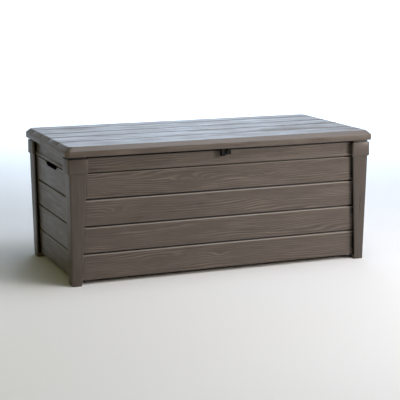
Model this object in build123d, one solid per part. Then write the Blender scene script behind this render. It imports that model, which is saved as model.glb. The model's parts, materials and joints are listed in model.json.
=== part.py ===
from build123d import *
from math import hypot
import os

# Deck storage box: moulded wood-look plastic walls, four corner posts with feet, a hinged lid
# on two gas struts, and a padlock latch. Millimetres, +Z up. The origin is at the bottom centre
# of the whole box, +X runs along its width and the front faces -Y.

# Driving dimensions
width = 1450.0             # over the lid
depth = 697.0              # over the lid
height = 603.0             # floor to the top of the lid
lean = 0.0286              # how far walls and posts draw in towards the floor, mm per mm
datum_z = 500.0            # height at which the wall half sizes below are given
wall_half_x = 697.0        # outer face of a side wall at datum_z
wall_half_y = 318.5        # outer face of the front and rear walls at datum_z
skin = 4.5                 # wall thickness between ridges

# Heights of the body
wall_bottom = 19.5
groove_levels = [136.0, 254.5, 373.0]
lip_bottom = 489.0         # underside of the rail's lip
rim_top = 549.5            # top of the rail and of the post collars, a dark gap below the lid's skirt
rain_lip_top = 574.0
floor_seat = 28.0          # the wall ledges hold the floor panels at this height
floor_top = 32.0

# Plank joints: a shadow gap, with the eased top edge of the lower plank under it
gap_above = 3.0            # from a joint's level up to the upper plank's lower edge
gap_below = 4.0            # from the level down to the gap's floor, at the back
chamfer_below = 5.0        # from the level down to the top of the lower plank's chamfer
chamfer_depth = 3.0
eased_below = 8.5          # from the level down to the lower plank's face
groove_depth = 10.0
ridge_depth = 14.0         # the inner face follows each groove at this depth
ridge_half = 7.0
ridge_slope = 5.5

# Rails
lip_stand = 3.0            # the lip stands out this far from the wall's plane
lip_face = 10.0            # height of the lip's upright face
lip_top = 16.0             # height of the lip with its sloping top
lip_groove_depth = 7.0
lip_groove = (4.5, 8.0)    # back and face of the groove under the lip, down from lip_bottom
rail_inset = 2.0           # the rail's face lies this far in from the wall's plane
flange_wall = 3.0
ledge_depth = 22.0
ledge_thickness = 5.0
flange_depth = 16.0
rib_depth = 16.0
rib_thickness = 6.0
long_rib_x = [-520.0, -260.0, 0.0, 260.0, 520.0]
side_rib_y = [-170.0, 0.0, 150.0]

# Corner posts: edges at the foot and just under the collar
collar_bottom = 486.5
post_inner_x = (658.0, 631.5)
post_outer_x = (701.5, 709.5)
post_outer_y = (326.0, 336.0)
post_inner_y = (264.0, 256.0)
post_radius = 7.0
post_shell = 4.0
post_overhang = 12.0       # the face plates reach this far past the post's inner returns
post_face = 5.0
foot_plate = 5.0
foot_chamfer = 1.5
collar_x = (626.0, 715.5)
collar_y = (250.0, 341.0)  # far enough in for the lid's rear skirt to swing past
collar_chamfer = 2.5
collar_top_fillet = 2.0
collar_top_plate = 6.0
cap_inset = 8.0            # a raised step on the collar, so that the gap under the lid isn't open
cap_height = 14.0          # it ends inside the skirt
post_screw_z = [80.0, 200.0, 430.0]
post_screw_x = 671.0
post_boss_radius = 6.0

# Lid
skirt_bottom = 560.5
skirt_top = 585.0
bevel_inset = 18.2
lid_radius = 20.0
skirt_thickness = 4.5
top_thickness = 5.0
lid_groove_y = [-178.0, -38.0, 92.0, 238.0]
lid_groove_top = 12.0      # width at the surface
lid_groove_floor = 7.0
lid_groove_depth = 4.5
lid_ridge_width = 24.0     # ridge under each groove
lid_ridge_drop = 4.5
lid_rib_x = [-600.0, -400.0, -200.0, 0.0, 200.0, 400.0, 600.0]
lid_rib_drop = 8.0
cap_hollow_drop = 4.0      # the hollow under the lid starts to close this far below skirt_top
lid_hem_fillet = 2.0
lid_under = height - top_thickness
rib_under = lid_under - lid_rib_drop

# Lid bars
bar_size = 20.0
bar_wall = 1.5
bar_corner = 2.5
bar_half_length = 640.0
bar_y = [-170.0, 40.0]
clip_x = [-600.0, 0.0, 600.0]
clip_wall = 3.0
clip_length = 24.0

# Lid hinges
hinge_y = 334.0
hinge_z = 552.0
hinge_x = [-450.0, 0.0, 450.0]
hinge_half_width = 40.0
lid_knuckle_half = 13.5
knuckle_gap = 0.5
knuckle_radius = 7.0
hinge_pin_radius = 3.0
pin_head_radius = 5.0
pin_head = 2.8
running_gap = 0.05
box_leaf_y = (320.3, 324.3)
box_leaf_root_y = 315.0    # the leaf's back is cut to the rear rail's leaning face
box_leaf_z = (506.0, 546.0)
lid_leaf_y = (340.0, depth / 2 - skirt_thickness)
lid_leaf_top = 579.0

# Gas struts. Both pivots lie strut_arm from the lid's hinge line, so the strut turns by
# exactly half the lid's angle.
strut_x = 655.0
strut_arm = 190.0
lid_pivot = (hinge_y - strut_arm, hinge_z)
wall_pivot = (272.0, hinge_z - (strut_arm**2 - (hinge_y - 272.0)**2)**0.5)
stud_radius = 5.0
socket_radius = 9.0
socket_half_width = 7.0
stem_radius = 6.5
cylinder_start = 12.0      # from the wall pivot
cylinder_length = 172.0
cylinder_radius = 9.5
cylinder_bore = 7.5
cylinder_base = 6.0
cylinder_edge = 1.2
gland_length = 8.0
rod_radius = 4.0
rod_end_gap = 10.0         # from the rod's tip to the lid pivot
piston_length = 8.0
piston_clearance = 0.1
rod_inside = 164.0

# Strut brackets
bracket_plate = 4.0
bracket_half = 18.0
bracket_half_height = 30.0
bracket_corner = 6.0
bracket_web_radius = 11.0
wall_boss_x = 679.0        # flat inner face of the boss on each side wall, just clear of the joint's ridge
wall_boss_half = (22.0, 34.0)
lid_web_x = (668.0, 672.0)

# Latch
tongue_x = (-22.0, -4.0)
tongue_y = (-342.5, -325.5)
tongue_bottom = 526.0
keeper_x = (2.0, 22.0)
keeper_y = (-342.5, -317.0)   # the back is cut to the front rail's leaning face
keeper_z = (532.0, 555.0)
padlock_y = -334.0
padlock_z = 543.0
padlock_radius = 4.5
latch_fillet = 5.0

# Handle slots in the side walls, just under the rail
slot_top = 484.0
slot_bottom = 464.0
slot_half_top = 100.0
slot_half_bottom = 70.0
slot_corner = 5.0

# Screws
screw_radius = 2.0
screw_head_radius = 4.5
screw_head_height = 2.5
screw_clearance = 0.1
head_play = 0.2            # between a head and a leaning wall
screw_length = 12.0
lid_screw_length = 9.0
leaf_screw_length = 7.0
bracket_screw_length = 8.0
wall_bracket_pitch = 44.0
lid_bracket_pitch = 22.0
box_leaf_pitch = 52.0
lid_leaf_pitch = 56.0
box_leaf_screw_z = 520.0
lid_leaf_screw_z = 571.0
keeper_screw_z = 537.0
tongue_screw_back = (8.0, 22.0)   # behind the tongue's back face

# Ridge behind the rail's lip, on the inner face
rail_ridge_bottom = lip_bottom - 9.0
rail_ridge_top = lip_bottom + 14.0

# Floor panels
floor_play = 0.8
floor_half_gap = 0.5       # from the centre plane to each panel
floor_rib_margin = 3.0     # between the ribs and the wall ledges
floor_rib_count = 5

os.makedirs("parts", exist_ok=True)


def wall_x(z):
    return wall_half_x + lean * (z - datum_z)


def wall_y(z):
    return wall_half_y + lean * (z - datum_z)


def block(x, y, z):
    """Box between three (low, high) pairs."""
    size = Box(x[1] - x[0], y[1] - y[0], z[1] - z[0])
    return Pos((x[0] + x[1]) / 2, (y[0] + y[1]) / 2, (z[0] + z[1]) / 2) * size


def rod_between(start, direction, radius, length):
    return Plane(origin=start, z_dir=direction) * Pos(0, 0, length / 2) * Cylinder(radius, length)


def tapered(bottom, top, z, radius=0.0):
    """Loft between two (x low, x high, y low, y high) rectangles at two heights."""
    faces = []
    for (x0, x1, y0, y1), level in zip((bottom, top), z):
        outline = RectangleRounded(x1 - x0, y1 - y0, radius) if radius else Rectangle(x1 - x0, y1 - y0)
        faces.append(Pos((x0 + x1) / 2, (y0 + y1) / 2, level) * outline)
    return loft(faces, ruled=True)


def screw_hole(start, direction, length=screw_length + 1):
    return rod_between(start, direction, screw_radius + screw_clearance, length)


def save(name, shape):
    solids = shape.solids()
    export_step(solids[0] if len(solids) == 1 else Compound(children=list(solids)), f"parts/{name}.step")


def wall_profile():
    """Closed outline of a wall as (depth from the outer plane, height)."""
    outside = [(0.0, wall_bottom)]
    for level in groove_levels:
        outside += [(0.0, level - eased_below), (chamfer_depth, level - chamfer_below),
                    (groove_depth, level - gap_below), (groove_depth, level + gap_above), (0.0, level + gap_above)]
    back, face = lip_groove
    outside += [(0.0, lip_bottom - face), (lip_groove_depth, lip_bottom - back), (lip_groove_depth, lip_bottom)]
    outside += [(-lip_stand, lip_bottom), (-lip_stand, lip_bottom + lip_face)]
    outside += [(rail_inset, lip_bottom + lip_top), (rail_inset, rim_top)]
    inside = [(flange_depth - flange_wall, rim_top), (flange_depth - flange_wall, rain_lip_top)]
    inside += [(flange_depth, rain_lip_top), (flange_depth, rim_top - skin), (rail_inset + skin, rim_top - skin)]
    inside += [(rail_inset + skin, rail_ridge_top + ridge_slope), (ridge_depth, rail_ridge_top)]
    inside += [(ridge_depth, rail_ridge_bottom), (skin, rail_ridge_bottom - ridge_slope)]
    for level in reversed(groove_levels):
        inside += [(skin, level + ridge_half + ridge_slope), (ridge_depth, level + ridge_half),
                   (ridge_depth, level - ridge_half), (skin, level - ridge_half - ridge_slope)]
    inside += [(skin, floor_seat), (ledge_depth, floor_seat), (ledge_depth, floor_seat - ledge_thickness)]
    inside += [(skin, floor_seat - ledge_thickness), (skin, wall_bottom)]
    return outside + inside


def rib_profile():
    """Outline of an upright rib, rooted in the skin and in each ridge without filling a groove."""
    root, ridge_root = skin - 1, ridge_depth - 2
    low = floor_top + 8
    points = [(root, low)]
    for level in groove_levels:
        points += [(root, level - ridge_half - ridge_slope), (ridge_root, level - ridge_half),
                   (ridge_root, level + ridge_half), (root, level + ridge_half + ridge_slope)]
    points += [(root, rail_ridge_bottom - ridge_slope), (ridge_root, rail_ridge_bottom)]
    points += [(ridge_root, rail_ridge_top), (root + rail_inset, rail_ridge_top + ridge_slope)]
    return points + [(root + rail_inset, rim_top - skin), (rib_depth, rim_top - skin), (rib_depth, low)]


def front_section(outline):
    points = [(-(wall_y(z) - inward), z) for inward, z in outline]
    return Plane.YZ * make_face(Polyline(*points, close=True))


def side_section(outline):
    points = [(wall_x(z) - inward, z) for inward, z in outline]
    return Plane.XZ * make_face(Polyline(*points, close=True))


def front_wall():
    wall = extrude(front_section(wall_profile()), amount=wall_half_x + 10, both=True)
    for x in long_rib_x:
        wall += Pos(x, 0, 0) * extrude(front_section(rib_profile()), amount=rib_thickness / 2, both=True)
    low, high = wall_bottom - 5, rain_lip_top + 5
    wall &= tapered((-wall_x(low), wall_x(low), -400, 0), (-wall_x(high), wall_x(high), -400, 0), (low, high))
    return wall - post_screw_holes()


def side_wall(front, rear):
    """Right-hand side wall, fitted between the front and rear walls, with its handle slot."""
    wall = extrude(side_section(wall_profile()), amount=wall_half_y + 20, both=True)
    for y in side_rib_y:
        wall += Pos(0, y, 0) * extrude(side_section(rib_profile()), amount=rib_thickness / 2, both=True)
    y_boss, z_boss = wall_pivot
    boss = block((wall_boss_x, wall_half_x - 2 * skin), (y_boss - wall_boss_half[0], y_boss + wall_boss_half[0]),
                 (z_boss - wall_boss_half[1], z_boss + wall_boss_half[1]))
    wall += boss
    low, high = wall_bottom - 5, rain_lip_top + 5
    y_low, y_high = wall_y(low) - skin, wall_y(high) - skin
    wall &= tapered((0, 800, -y_low, y_low), (0, 800, -y_high, y_high), (low, high))
    corners = [(-slot_half_top, slot_top), (slot_half_top, slot_top),
               (slot_half_bottom, slot_bottom), (-slot_half_bottom, slot_bottom)]
    slot = make_face(Polyline(*corners, close=True))
    slot = fillet(slot.vertices(), slot_corner)
    rib_free = block((wall_x(slot_bottom) - rib_depth - 1, wall_x(slot_bottom) - skin),
                     (-slot_half_top - 8, slot_half_top + 8), (slot_bottom - 6, slot_top))
    wall -= extrude(Plane.YZ * slot, amount=800)
    wall -= rib_free
    for point, direction in wall_bracket_screws():
        wall -= screw_hole(point, direction)
    wall = wall - front - rear
    return max(wall.solids(), key=lambda solid: solid.volume)


def post_rect(z, inner=0.0, outer=0.0):
    """Outline of the right-hand front post at a height, drawn in from its inner and outer sides."""
    share = z / collar_bottom
    x0, x1, y0, y1 = (a + (b - a) * share for a, b in (post_inner_x, post_outer_x, post_outer_y, post_inner_y))
    return (x0 + inner, x1 - outer, -y0 + outer, -y1 - inner)


def post():
    """Right-hand front post: an L of two face plates that overhang its returns. The others mirror it."""
    shape = tapered(post_rect(0), post_rect(rim_top - 1), (0, rim_top - 1), post_radius)
    shape = chamfer(shape.faces().sort_by(Axis.Z)[0].edges(), foot_chamfer)
    collar = Pos(sum(collar_x) / 2, -sum(collar_y) / 2, collar_bottom) * extrude(
        RectangleRounded(collar_x[1] - collar_x[0], collar_y[1] - collar_y[0], post_radius),
        amount=rim_top - collar_bottom)
    collar = chamfer(collar.faces().sort_by(Axis.Z)[0].edges(), collar_chamfer)
    collar = fillet(collar.faces().sort_by(Axis.Z)[-1].edges(), collar_top_fillet)
    shape += collar
    cap = RectangleRounded(collar_x[1] - collar_x[0] - 2 * cap_inset, collar_y[1] - collar_y[0] - 2 * cap_inset,
                           post_radius / 2)
    shape += Pos(sum(collar_x) / 2, -sum(collar_y) / 2, rim_top - 1) * extrude(cap, amount=cap_height + 1)

    low, high = wall_bottom, rim_top - collar_top_plate
    x0, x1, y0, y1 = post_rect(low)
    a0, a1, b0, b1 = post_rect(high)
    beyond = 10.0
    shape -= tapered((x0 - beyond, x0 + post_overhang, y0 + post_face, 0),
                     (a0 - beyond, a0 + post_overhang, b0 + post_face, 0), (low, high))
    shape -= tapered((0, x1 - post_face, y1 - post_overhang, y1 + beyond),
                     (0, a1 - post_face, b1 - post_overhang, b1 + beyond), (low, high))
    inner = post_overhang + post_shell
    shape -= tapered(post_rect(foot_plate, inner, post_face), post_rect(high, inner, post_face), (foot_plate, high))
    for z in post_screw_z:
        face = -post_rect(z)[2]
        shape += rod_between((post_screw_x, -wall_y(z) + 8, z), (0, -1, 0), post_boss_radius,
                             8 + face - wall_y(z) - post_face / 2)
    body = (0, wall_x(wall_bottom), -wall_y(wall_bottom), 0)
    body_top = (0, wall_x(height), -wall_y(height), 0)
    shape -= tapered(body, body_top, (wall_bottom, height))
    reach, lip_high = lip_stand + 0.1, lip_bottom + lip_top
    shape -= block((0, wall_x(lip_high) + reach), (-wall_y(lip_high) - reach, 0), (lip_bottom - 1, lip_high))
    return shape - post_screw_holes()


def post_screws_right():
    """Head seats and directions of the screws that hold the right-hand front post."""
    return [((post_screw_x, -(wall_y(z) - skin) + head_play, z), (0, -1, 0)) for z in post_screw_z]


def post_screw_holes():
    holes = [screw_hole(point, direction) for point, direction in post_screws_right()]
    holes += [mirror(hole, Plane.YZ) for hole in holes]
    return Compound(children=holes)


def floor_panel():
    """Right-hand half of the floor, ribbed underneath."""
    half_y = wall_y(floor_seat) - skin - floor_play
    end_x = wall_x(floor_seat) - skin - floor_play
    panel = block((floor_half_gap, end_x), (-half_y, half_y), (floor_seat, floor_top))
    rib_y = wall_y(floor_seat) - ledge_depth - floor_rib_margin
    rib_end = wall_x(floor_seat) - ledge_depth - floor_rib_margin
    rib_z = (wall_bottom + 1, floor_seat)
    for i in range(floor_rib_count):
        x = floor_half_gap + (rib_end - floor_half_gap - rib_thickness) * i / (floor_rib_count - 1)
        panel += block((x, x + rib_thickness), (-rib_y, rib_y), rib_z)
    for y in (-rib_y / 2, rib_y / 2):
        panel += block((floor_half_gap, rib_end), (y - rib_thickness / 2, y + rib_thickness / 2), rib_z)
    return panel


def lid_outline(inset, z, radius):
    return Pos(0, 0, z) * RectangleRounded(width - 2 * inset, depth - 2 * inset, radius)


def lid_block(inset, bottom, shoulder, top, top_inset):
    radius = lid_radius - inset
    skirt = extrude(lid_outline(inset, bottom, radius), amount=shoulder - bottom)
    cap = loft([lid_outline(inset, shoulder, radius), lid_outline(top_inset, top, radius / 2)], ruled=True)
    return skirt + cap


def lid_shell():
    outer = lid_block(0.0, skirt_bottom, skirt_top, height, bevel_inset)
    outer = fillet(outer.faces().sort_by(Axis.Z)[0].edges(), lid_hem_fillet)
    inner = lid_block(skirt_thickness, skirt_bottom - 1, skirt_top - cap_hollow_drop, lid_under, bevel_inset)
    shell = outer - inner
    groove_end = width / 2 - bevel_inset
    for y in lid_groove_y:
        ridge_half_width = lid_ridge_width / 2
        shell += block((-groove_end + 2, groove_end - 2), (y - ridge_half_width, y + ridge_half_width),
                       (lid_under - lid_ridge_drop, lid_under))
        floor_rect = (-groove_end, groove_end, y - lid_groove_floor / 2, y + lid_groove_floor / 2)
        top_rect = (-groove_end, groove_end, y - lid_groove_top / 2, y + lid_groove_top / 2)
        shell -= tapered(floor_rect, top_rect, (height - lid_groove_depth, height + 0.01))
    rib_half = depth / 2 - bevel_inset - 2
    for x in lid_rib_x:
        shell += block((x - rib_thickness / 2, x + rib_thickness / 2), (-rib_half, rib_half), (rib_under, lid_under))
    y_boss = lid_pivot[0]
    for side in (-1, 1):
        x = sorted((side * (strut_x - 19), side * (lid_web_x[1] + 2)))
        shell += block(x, (y_boss - bracket_half, y_boss + bracket_half), (rib_under, lid_under))
    shell += block((tongue_x[0] - 4, tongue_x[1] + 4), (tongue_y[1] - 6, tongue_y[1] + 30), (rib_under, lid_under))
    for point, direction in lid_bracket_screws() + latch_tongue_screws():
        shell -= screw_hole(point, direction, lid_screw_length + 0.5)
    for point, direction in hinge_lid_screws():
        shell -= screw_hole(point, direction, leaf_screw_length + 0.5)
    return shell


def lid_bar(y):
    z = (rib_under - bar_size, rib_under)
    x = (-bar_half_length, bar_half_length)
    tube = fillet(block(x, (y - bar_size / 2, y + bar_size / 2), z).edges().filter_by(Axis.X), bar_corner)
    bore = bar_size / 2 - bar_wall
    hollow = block((x[0] - 1, x[1] + 1), (y - bore, y + bore), (z[0] + bar_wall, z[1] - bar_wall))
    return tube - hollow


def lid_bar_clips():
    clips = []
    for x in clip_x:
        for y in bar_y:
            reach = bar_size / 2 + clip_wall
            clip = block((x - clip_length / 2, x + clip_length / 2), (y - reach, y + reach),
                         (rib_under - bar_size - clip_wall, rib_under))
            clip -= block((x - clip_length, x + clip_length), (y - bar_size / 2, y + bar_size / 2),
                          (rib_under - bar_size, rib_under + 1))
            clips.append(clip)
    return Compound(children=clips)


def knuckle(x_low, x_high):
    return rod_between((x_low, hinge_y, hinge_z), (1, 0, 0), knuckle_radius, x_high - x_low)


def hinge_bore(x):
    start = (x - hinge_half_width - 1, hinge_y, hinge_z)
    return rod_between(start, (1, 0, 0), hinge_pin_radius + running_gap, 2 * hinge_half_width + 2)


def hinge_box_leaf(x):
    leaf = block((x - hinge_half_width, x + hinge_half_width), (box_leaf_root_y, box_leaf_y[1]), box_leaf_z)
    split = lid_knuckle_half + knuckle_gap
    for low, high in ((x - hinge_half_width, x - split), (x + split, x + hinge_half_width)):
        leaf += knuckle(low, high)
        leaf += block((low, high), (box_leaf_y[0], hinge_y - 1), (box_leaf_z[1] - 4, hinge_z - 3))
    leaf -= hinge_bore(x)
    for point, direction in hinge_box_screws():
        leaf -= screw_hole(point, direction)
    return leaf


def hinge_lid_leaf(x):
    leaf = block((x - hinge_half_width, x + hinge_half_width), lid_leaf_y, (hinge_z + 12, lid_leaf_top))
    leaf += block((x - lid_knuckle_half, x + lid_knuckle_half), (hinge_y + 2, lid_leaf_y[1] - 0.6),
                  (hinge_z, hinge_z + 13))
    leaf += knuckle(x - lid_knuckle_half, x + lid_knuckle_half)
    leaf -= hinge_bore(x)
    for point, direction in hinge_lid_screws():
        leaf -= screw_hole(point, direction)
    return leaf


def hinge_pin(x):
    """Pin with an upset head at its left end."""
    start = x - hinge_half_width - 3
    pin = rod_between((start + 2, hinge_y, hinge_z), (1, 0, 0), hinge_pin_radius, 2 * hinge_half_width + 3)
    return pin + rod_between((start, hinge_y, hinge_z), (1, 0, 0), pin_head_radius, pin_head)


def hinge_box_screws():
    return [((x + side * box_leaf_pitch / 2, box_leaf_y[1], box_leaf_screw_z), (0, -1, 0))
            for x in hinge_x for side in (-1, 1)]


def hinge_lid_screws():
    return [((x + side * lid_leaf_pitch / 2, lid_leaf_y[0], lid_leaf_screw_z), (0, 1, 0))
            for x in hinge_x for side in (-1, 1)]


def wall_bracket_screws():
    """Seats on the right-hand wall bracket."""
    y, z = wall_pivot
    return [((wall_boss_x - bracket_plate, y, z + side * wall_bracket_pitch / 2), (1, 0, 0)) for side in (-1, 1)]


def lid_bracket_screws():
    """Seats on both lid brackets."""
    y = lid_pivot[0]
    x = strut_x - socket_half_width
    return [((side * x, y + end * lid_bracket_pitch / 2, rib_under - bracket_plate), (0, 0, 1))
            for side in (-1, 1) for end in (-1, 1)]


def latch_tongue_screws():
    x = sum(tongue_x) / 2
    return [((x, tongue_y[1] + dy, rib_under - bracket_plate), (0, 0, 1)) for dy in tongue_screw_back]


def latch_keeper_screws():
    seat_y = -(wall_y(keeper_screw_z) - rail_inset - skin) + head_play
    return [((sum(keeper_x) / 2, seat_y, keeper_screw_z), (0, -1, 0))]


def screws(seats, length):
    """Pan-head screws, one on each (head seat, direction)."""
    group = []
    for point, direction in seats:
        back = [-part for part in direction]
        group.append(rod_between(point, back, screw_head_radius, screw_head_height)
                     + rod_between(point, direction, screw_radius, length))
    return Compound(children=group)


def wall_bracket():
    y, z = wall_pivot
    plate = block((wall_boss_x - bracket_plate, wall_boss_x), (y - bracket_half, y + bracket_half),
                  (z - bracket_half_height, z + bracket_half_height))
    plate = fillet(plate.edges().filter_by(Axis.X), bracket_corner)
    for point, direction in wall_bracket_screws():
        plate -= screw_hole(point, direction)
    return plate


def lid_bracket():
    y, z = lid_pivot
    foot = block((strut_x - 17, lid_web_x[1]), (y - bracket_half, y + bracket_half),
                 (rib_under - bracket_plate, rib_under))
    web = block(lid_web_x, (y - bracket_half, y + bracket_half), (z - 12, rib_under))
    web = fillet(web.edges().filter_by(Axis.X).group_by(Axis.Z)[0], bracket_web_radius)
    bracket = foot + web
    for point, direction in lid_bracket_screws():
        bracket -= screw_hole(point, direction)
    return bracket


def stud(pivot, root_x):
    """Headed stud that stands in from root_x and carries a strut socket."""
    y, z = pivot
    shoulder = strut_x + socket_half_width + 1
    tip = strut_x - socket_half_width - 1
    shape = rod_between((root_x, y, z), (-1, 0, 0), stud_radius + 2, root_x - shoulder)
    shape += rod_between((shoulder, y, z), (-1, 0, 0), stud_radius, shoulder - tip)
    return shape + rod_between((tip, y, z), (-1, 0, 0), stud_radius + 1.5, 3.0)


def strut_place(distance):
    """Point on the strut's line, at a distance from the wall pivot, with the lid closed."""
    dy, dz = lid_pivot[0] - wall_pivot[0], lid_pivot[1] - wall_pivot[1]
    share = distance / hypot(dy, dz)
    return (strut_x, wall_pivot[0] + dy * share, wall_pivot[1] + dz * share)


def strut_direction():
    dy, dz = lid_pivot[0] - wall_pivot[0], lid_pivot[1] - wall_pivot[1]
    return (0, dy, dz)


strut_closed = hypot(lid_pivot[0] - wall_pivot[0], lid_pivot[1] - wall_pivot[1])
cylinder_mouth = cylinder_start + cylinder_length


def strut_cylinder():
    way = strut_direction()
    tube = rod_between(strut_place(cylinder_start), way, cylinder_radius, cylinder_length)
    tube = fillet(tube.edges().filter_by(GeomType.CIRCLE), cylinder_edge)
    inside = cylinder_length - cylinder_base - gland_length
    tube -= rod_between(strut_place(cylinder_start + cylinder_base), way, cylinder_bore, inside)
    return tube - rod_between(strut_place(cylinder_mouth - gland_length - 1), way, rod_radius + running_gap, 20)


def strut_rod():
    way = strut_direction()
    start = cylinder_mouth - rod_inside
    rod = rod_between(strut_place(start), way, rod_radius, strut_closed - rod_end_gap - start)
    return rod + rod_between(strut_place(start), way, cylinder_bore - piston_clearance, piston_length)


def strut_socket(pivot, stem_end, way):
    """Moulded eye round a stud, with a short stem along the strut."""
    y, z = pivot
    eye = rod_between((strut_x - socket_half_width, y, z), (1, 0, 0), socket_radius, 2 * socket_half_width)
    eye += rod_between((strut_x, y, z), way, stem_radius, stem_end)
    start = strut_x - socket_half_width - 1
    return eye - rod_between((start, y, z), (1, 0, 0), stud_radius + running_gap, 2 * socket_half_width + 2)


def padlock_hole():
    length = keeper_x[1] - tongue_x[0] + 2
    return rod_between((tongue_x[0] - 1, padlock_y, padlock_z), (1, 0, 0), padlock_radius, length)


def latch_tongue():
    """Hangs from the lid inside the front skirt and shows below it."""
    tongue = block(tongue_x, tongue_y, (tongue_bottom, skirt_top - 7))
    tongue = fillet(tongue.edges().filter_by(Axis.X).group_by(Axis.Z)[0], latch_fillet)
    tongue += block(tongue_x, (tongue_y[1] - 5, tongue_y[1]), (skirt_top - 8, rib_under))
    tongue += block(tongue_x, (tongue_y[1] - 1, tongue_y[1] + 29), (rib_under - bracket_plate, rib_under))
    tongue -= padlock_hole()
    for point, direction in latch_tongue_screws():
        tongue -= screw_hole(point, direction)
    return tongue


def latch_keeper():
    """Stands out from the rail beside the tongue."""
    keeper = block(keeper_x, keeper_y, keeper_z)
    front_edges = keeper.edges().filter_by(Axis.X).group_by(Axis.Y)[0]
    keeper = fillet(front_edges, latch_fillet)
    keeper -= padlock_hole()
    for point, direction in latch_keeper_screws():
        keeper -= screw_hole(point, direction)
    return keeper


front = front_wall()
rear = mirror(front, Plane.XZ)
right = side_wall(front, rear)
for point, direction in hinge_box_screws():
    rear -= screw_hole(point, direction)
for point, direction in latch_keeper_screws():
    front -= screw_hole(point, direction)
save("front_wall", front)
save("rear_wall", rear)
save("right_wall", right)
save("left_wall", mirror(right, Plane.YZ))

front_post = post()
rear_post = mirror(front_post, Plane.XZ)
save("front_right_post", front_post)
save("front_left_post", mirror(front_post, Plane.YZ))
save("rear_right_post", rear_post)
save("rear_left_post", mirror(rear_post, Plane.YZ))
post_screws = [screws(post_screws_right(), screw_length)]
post_screws += [mirror(post_screws[0], Plane.YZ)]
post_screws += [mirror(group, Plane.XZ) for group in post_screws]
save("post_screws", Compound(children=[solid for group in post_screws for solid in group.solids()]))

floor = floor_panel()
save("right_floor_panel", floor)
save("left_floor_panel", mirror(floor, Plane.YZ))

save("lid_shell", lid_shell())
save("front_lid_bar", lid_bar(bar_y[0]))
save("rear_lid_bar", lid_bar(bar_y[1]))
save("lid_bar_clips", lid_bar_clips())

for name, x in zip(("left", "centre", "right"), hinge_x):
    save(f"{name}_hinge_box_leaf", hinge_box_leaf(x) - rear)
    save(f"{name}_hinge_lid_leaf", hinge_lid_leaf(x))
    save(f"{name}_hinge_pin", hinge_pin(x))
save("hinge_box_screws", screws(hinge_box_screws(), screw_length))
save("hinge_lid_screws", screws(hinge_lid_screws(), leaf_screw_length))

along = strut_direction()
against = (0, -along[1], -along[2])
strut_pieces = {
    "strut_wall_bracket": wall_bracket(),
    "strut_wall_stud": stud(wall_pivot, wall_boss_x - bracket_plate),
    "strut_lid_bracket": lid_bracket(),
    "strut_lid_stud": stud(lid_pivot, lid_web_x[0]),
    "strut_cylinder": strut_cylinder(),
    "strut_cylinder_socket": strut_socket(wall_pivot, cylinder_start, along),
    "strut_rod": strut_rod(),
    "strut_rod_socket": strut_socket(lid_pivot, rod_end_gap, against),
}
for name, shape in strut_pieces.items():
    save(f"right_{name}", shape)
    save(f"left_{name}", mirror(shape, Plane.YZ))
wall_screws = screws(wall_bracket_screws(), bracket_screw_length)
save("wall_bracket_screws", Compound(children=[*wall_screws.solids(), *mirror(wall_screws, Plane.YZ).solids()]))
save("lid_bracket_screws", screws(lid_bracket_screws(), lid_screw_length))

save("latch_tongue", latch_tongue())
save("latch_keeper", latch_keeper() - front)
save("latch_tongue_screws", screws(latch_tongue_screws(), lid_screw_length))
save("latch_keeper_screws", screws(latch_keeper_screws(), screw_length))
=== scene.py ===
import json
import math
import bpy
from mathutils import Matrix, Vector, noise


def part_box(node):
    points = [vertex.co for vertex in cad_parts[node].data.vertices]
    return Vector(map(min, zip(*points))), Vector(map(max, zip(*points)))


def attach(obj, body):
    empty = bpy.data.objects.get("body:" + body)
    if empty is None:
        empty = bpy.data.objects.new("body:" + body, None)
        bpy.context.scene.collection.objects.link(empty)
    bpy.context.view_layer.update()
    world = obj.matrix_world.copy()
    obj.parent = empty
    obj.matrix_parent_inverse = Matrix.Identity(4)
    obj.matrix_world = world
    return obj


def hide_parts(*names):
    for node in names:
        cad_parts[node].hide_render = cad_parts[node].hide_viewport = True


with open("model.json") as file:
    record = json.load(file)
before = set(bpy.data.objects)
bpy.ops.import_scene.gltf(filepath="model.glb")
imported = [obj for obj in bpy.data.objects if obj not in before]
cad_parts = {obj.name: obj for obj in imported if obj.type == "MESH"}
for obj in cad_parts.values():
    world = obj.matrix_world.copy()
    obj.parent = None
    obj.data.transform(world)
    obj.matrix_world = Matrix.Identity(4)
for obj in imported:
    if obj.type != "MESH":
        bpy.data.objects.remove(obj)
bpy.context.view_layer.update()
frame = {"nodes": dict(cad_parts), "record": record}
print("frame loaded:", len(frame["nodes"]), "CAD nodes")


def deselectAll():
    if bpy.context.mode != "OBJECT":
        bpy.ops.object.mode_set(mode="OBJECT")
    bpy.ops.object.select_all(action="DESELECT")


def makeActive(piece):
    deselectAll()
    piece.select_set(True)
    bpy.context.view_layer.objects.active = piece


def pickParts(piece, mode, test):
    # leaves edit mode on, with the vertices, edges or faces that pass the test selected
    makeActive(piece)
    bpy.ops.object.mode_set(mode="EDIT")
    bpy.ops.mesh.select_mode(type=mode)
    bpy.ops.mesh.select_all(action="DESELECT")
    bpy.ops.object.mode_set(mode="OBJECT")
    mesh = piece.data
    points = [v.co for v in mesh.vertices]
    if mode == "VERT":
        for v in mesh.vertices:
            v.select = test(v.co)
    elif mode == "EDGE":
        for e in mesh.edges:
            e.select = test(points[e.vertices[0]], points[e.vertices[1]])
            for i in e.vertices if e.select else ():
                mesh.vertices[i].select = True
    else:
        for f in mesh.polygons:
            f.select = test(f.center, f.normal)
    bpy.ops.object.mode_set(mode="EDIT")


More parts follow.
